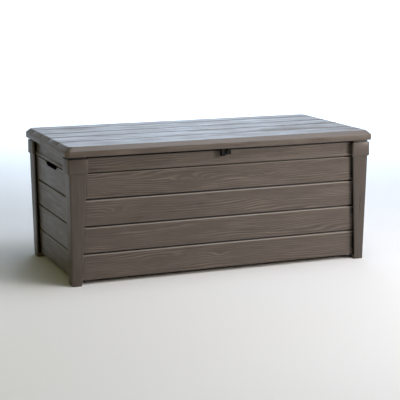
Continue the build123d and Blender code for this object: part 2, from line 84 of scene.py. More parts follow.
def addBlock(name, low, high):
    # a cube stretched between two corners, left in edit mode with all of it selected
    deselectAll()
    middle = [(a + b) / 2 for a, b in zip(low, high)]
    bpy.ops.mesh.primitive_cube_add(size=1, location=(0, 0, 0))
    piece = bpy.context.object
    piece.name = name
    bpy.ops.object.mode_set(mode="EDIT")
    bpy.ops.mesh.select_all(action="SELECT")
    bpy.ops.transform.resize(value=[b - a for a, b in zip(low, high)], center_override=(0, 0, 0))
    bpy.ops.transform.translate(value=middle)
    return piece


def solidBlock(name, low, high):
    piece = addBlock(name, low, high)
    bpy.ops.object.mode_set(mode="OBJECT")
    return piece


def drawOutline(name, points):
    # one vertex walked round an outline by extrusion, then closed and filled
    deselectAll()
    bpy.ops.mesh.primitive_plane_add(size=0.01, location=(0, 0, 0))
    piece = bpy.context.object
    piece.name = name
    bpy.ops.object.mode_set(mode="EDIT")
    bpy.ops.mesh.select_mode(type="VERT")
    bpy.ops.mesh.select_all(action="SELECT")
    bpy.ops.mesh.merge(type="CENTER")
    bpy.ops.transform.translate(value=points[0])
    for start, end in zip(points, points[1:] + points[:1]):
        bpy.ops.mesh.extrude_region_move(TRANSFORM_OT_translate={"value": end - start})
    bpy.ops.mesh.select_all(action="SELECT")
    bpy.ops.mesh.remove_doubles(threshold=0.00001)
    bpy.ops.mesh.edge_face_add()
    return piece


def applyModifier(piece, kind, **settings):
    makeActive(piece)
    modifier = piece.modifiers.new(kind.lower(), kind)
    for key, value in settings.items():
        setattr(modifier, key, value)
    bpy.ops.object.modifier_apply(modifier=modifier.name)


def combine(piece, tool, operation):
    applyModifier(piece, "BOOLEAN", operation=operation, object=tool, solver="EXACT",
                  use_self=operation == "UNION")
    bpy.data.objects.remove(tool)


def joinPieces(pieces):
    makeActive(pieces[0])
    for piece in pieces:
        piece.select_set(True)
    bpy.ops.object.join()
    return pieces[0]


def finishShape(piece, edgeRadius, segments=2, sharpDegrees=35):
    # outward faces and eased edges
    makeActive(piece)
    bpy.ops.object.mode_set(mode="EDIT")
    bpy.ops.mesh.select_all(action="SELECT")
    bpy.ops.mesh.remove_doubles(threshold=0.00002)
    bpy.ops.mesh.normals_make_consistent(inside=False)
    bpy.ops.object.mode_set(mode="OBJECT")
    applyModifier(piece, "BEVEL", width=edgeRadius, segments=segments, limit_method="ANGLE",
                  angle_limit=math.radians(sharpDegrees), use_clamp_overlap=True, harden_normals=False)


def smoothShading(piece):
    makeActive(piece)
    bpy.ops.object.shade_smooth_by_angle(angle=math.radians(28))


# The walls. Depth is measured inwards from a wall's outer plane, which leans in towards the floor.
wall = {
    "lean": 0.0286,
    "datumZ": 0.500,
    "half": (0.697, 0.3185),
    "skin": 0.0045,
    "grooves": [0.136, 0.2545, 0.373],
    "gapAbove": 0.003,         # a joint's shadow gap and the chamfer under it, measured from its level
    "gapBelow": 0.004,
    "chamferBelow": 0.005,
    "chamferDepth": 0.003,
    "easedBelow": 0.0085,
    "grooveDepth": 0.010,
    "ridgeDepth": 0.014,
    "ridgeHalf": 0.007,
    "ridgeSlope": 0.0055,
    "lipBottom": 0.489,
    "lipStand": 0.003,
    "lipFace": 0.010,
    "lipTop": 0.016,
    "lipGroove": (0.0045, 0.008),
    "lipGrooveDepth": 0.007,
    "railRidge": (0.480, 0.503),
    "railInset": 0.002,
    "rimTop": 0.5495,
    "flangeDepth": 0.016,
    "ledgeTop": 0.028,
    "ledgeDepth": 0.022,
    "ribDepth": 0.016,
    "ribThickness": 0.006,
    "longRibs": [-0.520, -0.260, 0.0, 0.260, 0.520],
    "sideRibs": [-0.170, 0.0, 0.150],
    "edgeRadius": 0.0008,
    "endAllowance": 0.030,     # extra length that is trimmed off a panel's leaning ends
    "bandInset": 0.001,        # a plank's grain keeps this far off its edges
    "seedStep": 3.17,
    "faceTolerance": 0.0004,
    "markSlack": 0.001,        # a colour mark reaches this far past what it marks
    "chamferSlack": 0.0009,
}
wall["bottom"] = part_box("front_wall")[0].z
wall["rainLipTop"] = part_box("front_wall")[1].z


def wallHalf(axis, z):
    return wall["half"][axis] + wall["lean"] * (z - wall["datumZ"])


def wallOutline():
    deep, ridge, skin, lip = wall["grooveDepth"], wall["ridgeDepth"], wall["skin"], wall["lipBottom"]
    inset, flange, rim, slope = wall["railInset"], wall["flangeDepth"], wall["rimTop"], wall["ridgeSlope"]
    outline = [(0.0, wall["bottom"])]
    for z in wall["grooves"]:
        outline += [(0.0, z - wall["easedBelow"]), (wall["chamferDepth"], z - wall["chamferBelow"])]
        outline += [(deep, z - wall["gapBelow"])]
        outline += [(deep, z + wall["gapAbove"]), (0.0, z + wall["gapAbove"])]
    back, face = wall["lipGroove"]
    outline += [(0.0, lip - face), (wall["lipGrooveDepth"], lip - back), (wall["lipGrooveDepth"], lip)]
    outline += [(-wall["lipStand"], lip), (-wall["lipStand"], lip + wall["lipFace"])]
    outline += [(inset, lip + wall["lipTop"]), (inset, rim)]
    outline += [(flange - 0.003, rim), (flange - 0.003, wall["rainLipTop"]), (flange, wall["rainLipTop"])]
    low, high = wall["railRidge"]
    outline += [(flange, rim - skin), (inset + skin, rim - skin), (inset + skin, high + slope)]
    outline += [(ridge, high), (ridge, low), (skin, low - slope)]
    for z in reversed(wall["grooves"]):
        half = wall["ridgeHalf"]
        outline += [(skin, z + half + slope), (ridge, z + half), (ridge, z - half), (skin, z - half - slope)]
    ledge = wall["ledgeTop"]
    outline += [(skin, ledge), (wall["ledgeDepth"], ledge), (wall["ledgeDepth"], ledge - 0.005)]
    return outline + [(skin, ledge - 0.005), (skin, wall["bottom"])]


def ribOutline():
    root, ridgeRoot = wall["skin"] - 0.001, wall["ridgeDepth"] - 0.002
    half, slope = wall["ridgeHalf"], wall["ridgeSlope"]
    base, top = wall["ledgeTop"] + 0.012, wall["rimTop"] - wall["skin"]
    outline = [(root, base)]
    for z in wall["grooves"]:
        outline += [(root, z - half - slope), (ridgeRoot, z - half)]
        outline += [(ridgeRoot, z + half), (root, z + half + slope)]
    low, high = wall["railRidge"]
    outline += [(root, low - slope), (ridgeRoot, low), (ridgeRoot, high), (root + 0.002, high + slope)]
    return outline + [(root + 0.002, top), (wall["ribDepth"], top), (wall["ribDepth"], base)]


def extrudeOutline(name, outline, runs, side, start, length):
    # runs is the axis that the panel runs along, and side says which of the two opposite panels it is
    def place(depth, z):
        point = Vector((0, 0, z))
        point[runs] = start
        point[1 - runs] = side * (wallHalf(1 - runs, z) - depth)
        return point
    piece = drawOutline(name, [place(depth, z) for depth, z in outline])
    along = Vector((0, 0, 0))
    along[runs] = length
    bpy.ops.mesh.extrude_region_move(TRANSFORM_OT_translate={"value": along})
    bpy.ops.mesh.select_all(action="SELECT")
    bpy.ops.mesh.normals_make_consistent(inside=False)
    return piece


def trimEnds(runs, inset):
    for end in (-1, 1):
        point, outward = Vector((0, 0, wall["datumZ"])), Vector((0, 0, -wall["lean"]))
        point[runs] = end * (wall["half"][runs] - inset)
        outward[runs] = end
        bpy.ops.mesh.select_all(action="SELECT")
        bpy.ops.mesh.bisect(plane_co=point, plane_no=outward, use_fill=True, clear_outer=True)


# Embossed wood grain: a moulded relief of wavy rings, stretched along the plank, with a knot or two.
grain = {
    "ringPitch": 0.0095,
    "swell": 2.4,              # how many rings the figure wanders across
    "swellLength": 0.480,
    "swellWidth": 0.060,
    "waver": 0.45,             # and a shorter, smaller wander on top of it
    "waverLength": 0.110,
    "waverWidth": 0.030,
    "knotLength": 0.040,
    "knotWidth": 0.013,
    "knotRings": 2.4,
    "knotWander": 0.9,         # knot places, as shares of the plank's length and width
    "knotSpread": 0.42,
    "knotSway": 0.45,
    "ridgeSharpness": 2.2,     # narrow ridges, broad hollows
    "plainHeight": 0.28,       # the level that the figure fades to
    "strengthMean": 0.50,      # how strongly the figure shows, which comes and goes along the plank
    "strengthSwing": 1.1,
    "strengthLeast": 0.06,
    "strengthScale": (4, 24),
    "relief": 0.0006,
    "cellAlong": 0.011,
    "cellAcross": 0.0013,
    "edgeFade": 0.004,
}


def grainHeight(along, across, seed, knots):
    level = across / grain["ringPitch"]
    swellPlace = Vector((along / grain["swellLength"], across / grain["swellWidth"], seed))
    level += grain["swell"] * noise.noise(swellPlace)
    waverPlace = Vector((along / grain["waverLength"], across / grain["waverWidth"], -seed))
    level += grain["waver"] * noise.noise(waverPlace)
    for knotAlong, knotAcross in knots:
        u = (along - knotAlong) / grain["knotLength"]
        v = (across - knotAcross) / grain["knotWidth"]
        level += grain["knotRings"] * math.exp(-(u * u + v * v) / 2)
    wave = (0.5 + 0.5 * math.sin(2 * math.pi * level)) ** grain["ridgeSharpness"]
    scaleAlong, scaleAcross = grain["strengthScale"]
    drift = noise.noise(Vector((along * scaleAlong, across * scaleAcross, seed + 7.3)))
    strength = grain["strengthMean"] + grain["strengthSwing"] * drift
    plain = grain["plainHeight"]
    return plain + (wave - plain) * min(1.0, max(grain["strengthLeast"], strength))


def knotPlaces(seed, length, low, high):
    # one knot for each half of the plank
    knots = []
    for k in (0, 1):
        along = noise.noise(Vector((seed, k * 5.1, 2.7))) * grain["knotWander"]
        along += (k - 0.5) * grain["knotSpread"]
        across = 0.5 + grain["knotSway"] * noise.noise(Vector((k * 3.3, seed, 9.1)))
        knots.append((length * along, low + (high - low) * across))
    return knots


def embossPlanks(piece, runs, across, planks, onFace):
    # gives each plank face a fine grid, a grain value at every vertex, and real relief
    mesh = piece.data
    grainValues, slack = {}, 0.002
    for low, high, seed in planks:
        def inPlank(p):
            return onFace(p) and low - slack < p[across] < high + slack
        # the long edges are cut into cells first, then the ones across the plank
        pickParts(piece, "EDGE", lambda a, b: inPlank(a) and inPlank(b)
                  and abs(b[runs] - a[runs]) > 0.05 and abs(b[across] - a[across]) < slack)
        length = max(abs(v.co[runs]) for v in mesh.vertices) * 2
        bpy.ops.mesh.subdivide(number_cuts=int(length / grain["cellAlong"]))
        pickParts(piece, "EDGE", lambda a, b: inPlank(a) and inPlank(b)
                  and abs(b[across] - a[across]) > (high - low) * 0.6)
        bpy.ops.mesh.subdivide(number_cuts=int((high - low) / grain["cellAcross"]))
        bpy.ops.object.mode_set(mode="OBJECT")
        knots = knotPlaces(seed, length, low, high)
        for v in mesh.vertices:
            if onFace(v.co) and low < v.co[across] < high:
                edge = min(v.co[across] - low, high - v.co[across]) / grain["edgeFade"]
                grainValues[v.index] = (v.co.copy(), seed, knots, min(1.0, edge))
    mesh.attributes.new("grain", "FLOAT", "POINT")
    mesh.attributes.new("plank", "FLOAT", "POINT")
    heights, numbers = [0.5] * len(mesh.vertices), [0.0] * len(mesh.vertices)
    group = piece.vertex_groups.new(name="relief")
    for index, (co, seed, knots, fade) in grainValues.items():
        height = grainHeight(co[runs], co[across], seed, knots)
        heights[index] = 0.5 + (height - 0.5) * fade
        numbers[index] = seed
        group.add([index], (1 - height) * fade, "REPLACE")
    mesh.attributes["grain"].data.foreach_set("value", heights)
    mesh.attributes["plank"].data.foreach_set("value", numbers)
    applyModifier(piece, "DISPLACE", strength=-grain["relief"], mid_level=0.0, vertex_group="relief")
    piece.vertex_groups.clear()


def markPaintedLight(piece, test):
    # 1 marks painted shade, which the material darkens, and -1 a painted highlight on arrises, which it makes
    # pale
    mesh = piece.data
    mesh.attributes.new("paintedLight", "FLOAT", "POINT")
    marks = [float(test(v.co)) for v in mesh.vertices]
    mesh.attributes["paintedLight"].data.foreach_set("value", marks)


def plankBands(seed):
    starts = [wall["bottom"]] + [z + wall["gapAbove"] for z in wall["grooves"]]
    ends = [z - wall["easedBelow"] for z in wall["grooves"]] + [wall["lipBottom"] - wall["lipGroove"][1]]
    starts.append(wall["lipBottom"] + wall["lipTop"])
    ends.append(wall["rimTop"])
    inset, step = wall["bandInset"], wall["seedStep"]
    return [(a + inset, b - inset, seed + step * i) for i, (a, b) in enumerate(zip(starts, ends))]


def makeWall(name, node, runs, side, ribs, seed):
    reach = wall["half"][runs] + wall["endAllowance"]
    piece = extrudeOutline(name, wallOutline(), runs, side, -reach, 2 * reach)
    trimEnds(runs, 0.0 if runs == 0 else wall["skin"])
    thick = wall["ribThickness"]
    ribPieces = [extrudeOutline("rib", ribOutline(), runs, side, at - thick / 2, thick) for at in ribs]
    combine(piece, joinPieces(ribPieces), "UNION")
    finishShape(piece, wall["edgeRadius"])

    def depthOf(p):
        return wallHalf(1 - runs, p.z) - side * p[1 - runs]

    def onFace(p):
        depth, tolerance = depthOf(p), wall["faceTolerance"]
        onRail = p.z > wall["lipBottom"] and abs(depth - wall["railInset"]) < tolerance
        return onRail or abs(depth) < tolerance
    bands = plankBands(seed)
    embossPlanks(piece, runs, 2, bands, onFace)
    if runs == 1:
        combine(piece, slotCutter(side), "DIFFERENCE")
        joinPieces([piece, bracketBoss(side)])

    slack, chamferSlack = wall["markSlack"], wall["chamferSlack"]
    joints = [(z - wall["gapBelow"], z + wall["gapAbove"]) for z in wall["grooves"]]
    joints.append((wall["lipBottom"] - wall["lipGroove"][0], wall["lipBottom"]))
    chamfers = [(z - wall["easedBelow"], z - wall["chamferBelow"]) for z in wall["grooves"]]
    chamfers.append((wall["lipBottom"] - wall["lipGroove"][1],) * 2)

    def marked(p):
        # painted shade in a plank joint, under the lip, on the rim and behind a post's face plate; a painted
        # highlight on a chamfer
        depth = depthOf(p)
        sunk = 0.004 < depth < wall["grooveDepth"] + slack
        inJoint = sunk and any(low - slack < p.z < high + slack for low, high in joints)
        onRim = p.z > wall["rimTop"] - 0.0002 and depth < wall["flangeDepth"] - 0.002
        onGrid = any(low + 0.002 < p.z < high - 0.002 for low, high, _ in bands)
        behindPost = onGrid and depth < 0.003 and abs(p[runs]) > postSides(p.z)[2 * runs] + slack
        onChamfer = any(low - chamferSlack < p.z < high + chamferSlack for low, high in chamfers)
        paintedHighlight = onChamfer and depth < wall["chamferDepth"] + 0.0006
        return -1 if paintedHighlight else inJoint or onRim or behindPost
    markPaintedLight(piece, marked)
    smoothShading(piece)
    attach(piece, "box")
    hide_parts(node)
    print(name, "modelled:", len(piece.data.polygons), "faces")
    return piece


# The flat seat for a strut's wall bracket, on the inner face of a side wall.
seat = {"margin": 0.004, "depth": 0.009}


def bracketBoss(side):
    low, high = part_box("right_strut_wall_bracket")
    inner, outer = sorted((side * high.x, side * (wall["half"][0] - seat["depth"])))
    margin = seat["margin"]
    boss = solidBlock("boss", (inner, low.y - margin, low.z - margin),
                      (outer, high.y + margin, high.z + margin))
    finishShape(boss, wall["edgeRadius"])
    return boss


# The handle slot, cut through each side wall just under the rail's lip.
slotShape = {
    "top": 0.484,
    "bottom": 0.464,
    "halfTop": 0.100,
    "halfBottom": 0.070,
    "corner": 0.005,
    "flare": 0.0015,           # the flare starts this far under the wall's outer plane
    "flareLength": 0.004,
    "through": 0.060,
}


def slotCutter(side):
    # a prism through the wall, flared where it leaves the outer face so that the rim is eased
    plane = wallHalf(0, slotShape["top"])
    inner, outer = side * (plane - slotShape["through"]), side * (plane - slotShape["flare"])
    low, high = sorted((inner, outer))
    cutter = addBlock("slotCutter", (low, -slotShape["halfTop"], slotShape["bottom"]),
                      (high, slotShape["halfTop"], slotShape["top"]))
    pickParts(cutter, "VERT", lambda p: p.z < slotShape["top"] - 0.001)
    bpy.ops.transform.resize(value=(1, slotShape["halfBottom"] / slotShape["halfTop"], 1),
                             center_override=(0, 0, slotShape["bottom"]))
    pickParts(cutter, "EDGE", lambda a, b: abs(a.x - b.x) > 0.01)
    bpy.ops.mesh.bevel(offset=slotShape["corner"], segments=4)
    pickParts(cutter, "FACE", lambda centre, normal: side * normal.x > 0.99)
    flare = slotShape["flareLength"]
    bpy.ops.mesh.extrude_region_move(TRANSFORM_OT_translate={"value": (side * flare, 0, 0)})
    middle = (slotShape["top"] + slotShape["bottom"]) / 2
    grow = (1, 1 + flare / slotShape["halfTop"], 1 + 2 * flare / (slotShape["top"] - slotShape["bottom"]))
    bpy.ops.transform.resize(value=grow, center_override=(0, 0, middle))
    bpy.ops.object.mode_set(mode="OBJECT")
    return cutter


# Corner posts: tapered, with a collar at the top and a foot that reaches the ground.
post = {
    "footX": (0.658, 0.7015),
    "collarLineX": (0.6315, 0.7095),
    "footY": (0.264, 0.326),
    "collarLineY": (0.256, 0.336),
    "collarX": (0.626, 0.7155),
    "collarY": (0.250, 0.341),
    "collarBottom": 0.4865,
    "radius": 0.007,
    "shell": 0.004,
    "face": 0.005,
    "overhang": 0.012,         # the face plates reach this far past the post's inner returns
    "chamfer": 0.0025,
    "capInset": 0.008,
    "capHeight": 0.014,
    "topSkin": 0.006,
    "sole": 0.005,
    "overlap": 0.001,          # united blocks reach this far into each other
    "cutMargin": 0.010,
    "cutAbove": 0.030,
    "lipPlay": 0.0001,
    "edgeRadius": 0.0014,
}


def postSides(z, inner=0.0, outer=0.0):
    share = z / post["collarBottom"]
    sides = []
    for foot, top in ((post["footX"], post["collarLineX"]), (post["footY"], post["collarLineY"])):
        low, high = (a + (b - a) * share for a, b in zip(foot, top))
        sides += [low + inner, high - outer]
    return sides


walls = {
    "frontWall": makeWall("frontWall", "front_wall", 0, -1, wall["longRibs"], 1.3),
    "rearWall": makeWall("rearWall", "rear_wall", 0, 1, wall["longRibs"], 23.6),
    "leftWall": makeWall("leftWall", "left_wall", 1, -1, wall["sideRibs"], 41.2),
    "rightWall": makeWall("rightWall", "right_wall", 1, 1, wall["sideRibs"], 58.7),
}


def taperedBlock(name, bottom, top, low, high):
    # bottom and top are (x low, x high, y low, y high) at the two heights
    piece = addBlock(name, (bottom[0], bottom[2], low), (bottom[1], bottom[3], high))
    pickParts(piece, "VERT", lambda p: p.z > high - 0.0001)
    middle = ((bottom[0] + bottom[1]) / 2, (bottom[2] + bottom[3]) / 2, high)
    grow = ((top[1] - top[0]) / (bottom[1] - bottom[0]), (top[3] - top[2]) / (bottom[3] - bottom[2]), 1)
    bpy.ops.transform.resize(value=grow, center_override=middle)
    shift = ((top[0] + top[1]) / 2 - middle[0], (top[2] + top[3]) / 2 - middle[1], 0)
    bpy.ops.transform.translate(value=shift)
    return piece


def roundUprights(piece, radius):
    pickParts(piece, "EDGE", lambda a, b: abs(a.z - b.z) > 0.05)
    bpy.ops.mesh.bevel(offset=radius, segments=5)
    bpy.ops.object.mode_set(mode="OBJECT")


def cutTapered(piece, name, bottom, top, low, high):
    tool = taperedBlock(name, bottom, top, low, high)
    bpy.ops.object.mode_set(mode="OBJECT")
    combine(piece, tool, "DIFFERENCE")


def makePost(name, node, sideX, sideY):
    top, overlap, margin, sole = wall["rimTop"], post["overlap"], post["cutMargin"], post["sole"]
    piece = taperedBlock(name, postSides(0), postSides(top - overlap), 0, top - overlap)
    roundUprights(piece, post["radius"])
    (x0, x1), (y0, y1) = post["collarX"], post["collarY"]
    edge = post["chamfer"]
    collar = addBlock("collar", (x0, y0, post["collarBottom"] + edge), (x1, y1, top))
    roundUprights(collar, post["radius"])
    pickParts(collar, "FACE", lambda centre, normal: normal.z < -0.9)
    bpy.ops.mesh.extrude_region_move(TRANSFORM_OT_translate={"value": (0, 0, -edge)})
    shrink = (1 - 2 * edge / (x1 - x0), 1 - 2 * edge / (y1 - y0), 1)
    bpy.ops.transform.resize(value=shrink, center_override=((x0 + x1) / 2, (y0 + y1) / 2, 0))
    bpy.ops.object.mode_set(mode="OBJECT")
    combine(piece, collar, "UNION")
    inset = post["capInset"]
    capLow = (x0 + inset, y0 + inset, top - overlap)
    cap = solidBlock("cap", capLow, (x1 - inset, y1 - inset, top + post["capHeight"]))
    combine(piece, cap, "UNION")
    low, high = wall["bottom"], top - post["topSkin"]
    a, b = postSides(low), postSides(high)
    reach, face = post["overhang"], post["face"]
    cutTapered(piece, "undercutX", (a[0] - margin, a[0] + reach, 0, a[3] - face),
               (b[0] - margin, b[0] + reach, 0, b[3] - face), low, high)
    cutTapered(piece, "undercutY", (0, a[1] - face, a[2] - margin, a[2] + reach),
               (0, b[1] - face, b[2] - margin, b[2] + reach), low, high)
    inner = reach + post["shell"]
    cutTapered(piece, "pocket", postSides(sole, inner, face), postSides(high, inner, face), sole, high)
    beyond = top + post["cutAbove"]
    cutTapered(piece, "body", (0, wallHalf(0, low), 0, wallHalf(1, low)),
               (0, wallHalf(0, beyond), 0, wallHalf(1, beyond)), low, beyond)
    lipHigh, stand = wall["lipBottom"] + wall["lipTop"], wall["lipStand"] + post["lipPlay"]
    lipArea = (0, wallHalf(0, lipHigh) + stand, 0, wallHalf(1, lipHigh) + stand)
    cutTapered(piece, "lip", lipArea, lipArea, wall["lipBottom"] - overlap, lipHigh)
    makeActive(piece)
    bpy.ops.object.mode_set(mode="EDIT")
    bpy.ops.mesh.select_all(action="SELECT")
    bpy.ops.transform.resize(value=(sideX, sideY, 1), center_override=(0, 0, 0))
    bpy.ops.object.mode_set(mode="OBJECT")
    finishShape(piece, post["edgeRadius"])

    slack = 0.0005
    capX, capY = (post[key][1] - inset + slack for key in ("collarX", "collarY"))

    def marked(p):
        # painted shade behind the face plates and on the cap that stands inside the lid's skirt
        x0, x1, y0, y1 = postSides(p.z)
        x, y = abs(p.x), abs(p.y)
        onCap = p.z > top - 0.0003 and x < capX and y < capY
        inX = x < x0 + reach + slack and y < y1 - face + slack
        inY = y < y0 + reach + slack and x < x1 - face + slack
        return onCap or (low < p.z < high + 0.001 and (inX or inY))
    markPaintedLight(piece, marked)
    smoothShading(piece)
    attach(piece, "box")
    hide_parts(node)
    print(name, "modelled:", len(piece.data.polygons), "faces")
    return piece


posts = [
    makePost("frontLeftPost", "front_left_post", -1, -1),
    makePost("frontRightPost", "front_right_post", 1, -1),
    makePost("rearLeftPost", "rear_left_post", -1, 1),
    makePost("rearRightPost", "rear_right_post", 1, 1),
]


# The lid: skirt, bevel and a plateau of five planks, hollow underneath with cross ribs.
lid = {
    "skirtTop": 0.585,
    "bevelInset": 0.0182,
    "cornerRadius": 0.020,
    "skirt": 0.0045,
    "topSkin": 0.005,
    "ribDrop": 0.008,
    "ribs": [-0.6, -0.4, -0.2, 0.0, 0.2, 0.4, 0.6],
    "grooves": [-0.178, -0.038, 0.092, 0.238],
    "grooveTop": 0.006,        # half widths of a groove at the surface and at its floor
    "grooveFloor": 0.0035,
    "grooveDepth": 0.0045,
    "ridgeHalf": 0.012,        # ridge under each groove
    "ridgeDrop": 0.0045,
    "hollowStep": 0.004,       # the hollow starts to narrow this far under the bevel
    "ribHalf": 0.003,
    "ribEndGap": 0.002,
    "ribOverlap": 0.001,       # how far ribs and ridges reach into the top
    "ridgeOverlap": 0.0012,
    "padMargin": 0.003,
    "tonguePadFront": -0.331,
    "grainInset": 0.0078,      # a plank's grain keeps this far from the middle of a groove
    "seed": 71.3,
    "seedStep": 4.21,
    "edgeRadius": 0.0014,
}


def makeLid():
    low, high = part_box("lid_shell")
    piece = addBlock("lidShell", low, (high.x, high.y, lid["skirtTop"]))
    pickParts(piece, "EDGE", lambda a, b: abs(a.z - b.z) > 0.01)
    bpy.ops.mesh.bevel(offset=lid["cornerRadius"], segments=7)
    inset, step = lid["bevelInset"], lid["hollowStep"]
    narrow = (1 - inset / high.x, 1 - inset / high.y, 1)
    rise = high.z - lid["skirtTop"]
    pickParts(piece, "FACE", lambda centre, normal: normal.z > 0.9)
    bpy.ops.mesh.extrude_region_move(TRANSFORM_OT_translate={"value": (0, 0, rise)})
    bpy.ops.transform.resize(value=narrow, center_override=(0, 0, high.z))
    pickParts(piece, "FACE", lambda centre, normal: normal.z < -0.9)
    bpy.ops.mesh.inset(thickness=lid["skirt"])
    bpy.ops.mesh.extrude_region_move(TRANSFORM_OT_translate={"value": (0, 0, lid["skirtTop"] - step - low.z)})
    under = high.z - lid["topSkin"]
    climb = under - lid["skirtTop"] + step
    bpy.ops.mesh.extrude_region_move(TRANSFORM_OT_translate={"value": (0, 0, climb)})
    bpy.ops.transform.resize(value=narrow, center_override=(0, 0, under))
    bpy.ops.mesh.select_all(action="SELECT")
    bpy.ops.mesh.normals_make_consistent(inside=False)
    bpy.ops.object.mode_set(mode="OBJECT")
    gap, half, ridge, margin = lid["ribEndGap"], lid["ribHalf"], lid["ridgeHalf"], lid["padMargin"]
    ribLow, ribTop, ribReach = under - lid["ribDrop"], under + lid["ribOverlap"], high.y - inset - gap
    ridgeLow, ridgeTop = under - lid["ridgeDrop"], under + lid["ridgeOverlap"]
    ridgeReach = high.x - inset - gap
    ribPieces = [solidBlock("lidRib", (x - half, -ribReach, ribLow), (x + half, ribReach, ribTop))
                 for x in lid["ribs"]]
    ribPieces += [solidBlock("lidRidge", (-ridgeReach, y - ridge, ridgeLow),
                             (ridgeReach, y + ridge, ridgeTop)) for y in lid["grooves"]]
    for node in ("left_strut_lid_bracket", "right_strut_lid_bracket", "latch_tongue"):
        padLow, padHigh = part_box(node)
        if node == "latch_tongue":
            padLow.y = lid["tonguePadFront"]
        ribPieces.append(solidBlock("pad", (padLow.x - margin, padLow.y, ribLow),
                                    (padHigh.x + margin, padHigh.y + lid["ribOverlap"], ribTop)))
    combine(piece, joinPieces(ribPieces), "UNION")
    for y in lid["grooves"]:
        for at in (-lid["grooveTop"], -lid["grooveFloor"], lid["grooveFloor"], lid["grooveTop"]):
            pickParts(piece, "FACE", lambda centre, normal: normal.z > 0.3 and centre.z > lid["skirtTop"])
            bpy.ops.mesh.bisect(plane_co=(0, y + at, 0), plane_no=(0, 1, 0))
        pickParts(piece, "VERT", lambda p: p.z > high.z - 0.0001
                  and abs(p.y - y) < lid["grooveFloor"] + 0.0003)
        bpy.ops.transform.translate(value=(0, 0, -lid["grooveDepth"]))
        bpy.ops.object.mode_set(mode="OBJECT")
    finishShape(piece, lid["edgeRadius"], 3, 24)
    edges = [-high.y + inset] + lid["grooves"] + [high.y - inset]
    keep = lid["grainInset"]
    bands = [(a + keep, b - keep, lid["seed"] + number * lid["seedStep"])
             for number, (a, b) in enumerate(zip(edges, edges[1:]))]
    embossPlanks(piece, 0, 1, bands, lambda p: p.z > high.z - 0.0002)

    def marked(p):
        # painted shade on the floor of a groove, which lies just above the underside of the top
        onFloor = lid["grooveDepth"] - 0.001 < high.z - p.z < lid["grooveDepth"] + 0.0004
        return onFloor and any(abs(p.y - y) < lid["grooveTop"] for y in lid["grooves"])
    markPaintedLight(piece, marked)
    smoothShading(piece)
    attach(piece, "lid")
    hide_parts("lid_shell")
    print("lidShell modelled:", len(piece.data.polygons), "faces")
    return piece


lidShell = makeLid()


# Padlock latch: a tongue that hangs from the lid beside a keeper on the rail, with one hole through both.
latch = {
    "holeY": -0.334,
    "holeZ": 0.543,
    "holeRadius": 0.0045,
    "fillet": 0.005,
    "backY": -0.3255,
    "neckFrom": 0.578,
    "neckDepth": 0.005,
    "flangeFrom": 0.586,
    "panelRim": 0.003,
    "panelDepth": 0.0012,
    "edgeRadius": 0.0006,
    "drillPast": 0.002,
}


def drillHole(piece, low, high):
    deselectAll()
    past = latch["drillPast"]
    bpy.ops.mesh.primitive_circle_add(vertices=48, radius=latch["holeRadius"], fill_type="NGON",
                                      location=(0, 0, 0))
    drill = bpy.context.object
    bpy.ops.object.mode_set(mode="EDIT")
    bpy.ops.mesh.select_all(action="SELECT")
    bpy.ops.transform.rotate(value=math.pi / 2, orient_axis="Y", center_override=(0, 0, 0))
    bpy.ops.transform.translate(value=(low - past, latch["holeY"], latch["holeZ"]))
    bpy.ops.mesh.extrude_region_move(TRANSFORM_OT_translate={"value": (high - low + 2 * past, 0, 0)})
    bpy.ops.mesh.select_all(action="SELECT")
    bpy.ops.mesh.normals_make_consistent(inside=False)
    bpy.ops.object.mode_set(mode="OBJECT")
    combine(piece, drill, "DIFFERENCE")


def sinkPanel(piece):
    # a shallow panel in the front face, as moulded fittings have
    pickParts(piece, "FACE", lambda centre, normal: normal.y < -0.99)
    bpy.ops.mesh.inset(thickness=latch["panelRim"])
    bpy.ops.mesh.extrude_region_move(TRANSFORM_OT_translate={"value": (0, latch["panelDepth"], 0)})
    bpy.ops.object.mode_set(mode="OBJECT")


def finishLatch(piece, node, body):
    low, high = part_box(node)
    sinkPanel(piece)
    drillHole(piece, low.x, high.x)
    finishShape(piece, latch["edgeRadius"])
    smoothShading(piece)
    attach(piece, body)
    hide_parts(node)
    return piece


def makeTongue():
    low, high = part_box("latch_tongue")
    piece = addBlock("latchTongue", low, (high.x, latch["backY"], latch["neckFrom"]))
    pickParts(piece, "EDGE", lambda a, b: abs(a.x - b.x) > 0.01 and max(a.z, b.z) < low.z + 0.0001)
    bpy.ops.mesh.bevel(offset=latch["fillet"], segments=6)
    bpy.ops.mesh.select_all(action="SELECT")
    neckFront, top = latch["backY"] - latch["neckDepth"], latch["neckFrom"]
    bpy.ops.mesh.bisect(plane_co=(0, neckFront, 0), plane_no=(0, 1, 0))
    pickParts(piece, "FACE", lambda centre, normal: normal.z > 0.99 and centre.y > neckFront)
    for height in (latch["flangeFrom"] - top, high.z - latch["flangeFrom"]):
        bpy.ops.mesh.extrude_region_move(TRANSFORM_OT_translate={"value": (0, 0, height)})
    pickParts(piece, "FACE", lambda centre, normal: normal.y > 0.99 and centre.z > latch["flangeFrom"])
    bpy.ops.mesh.extrude_region_move(TRANSFORM_OT_translate={"value": (0, high.y - latch["backY"], 0)})
    bpy.ops.object.mode_set(mode="OBJECT")
    return finishLatch(piece, "latch_tongue", "lid")


def makeKeeper():
    low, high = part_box("latch_keeper")
    piece = addBlock("latchKeeper", low, high)
    pickParts(piece, "EDGE", lambda a, b: abs(a.x - b.x) > 0.01 and max(a.y, b.y) < low.y + 0.0001)
    bpy.ops.mesh.bevel(offset=latch["fillet"], segments=6)
    bpy.ops.object.mode_set(mode="OBJECT")
    return finishLatch(piece, "latch_keeper", "box")


latchPieces = [makeTongue(), makeKeeper()]
print("latch modelled")


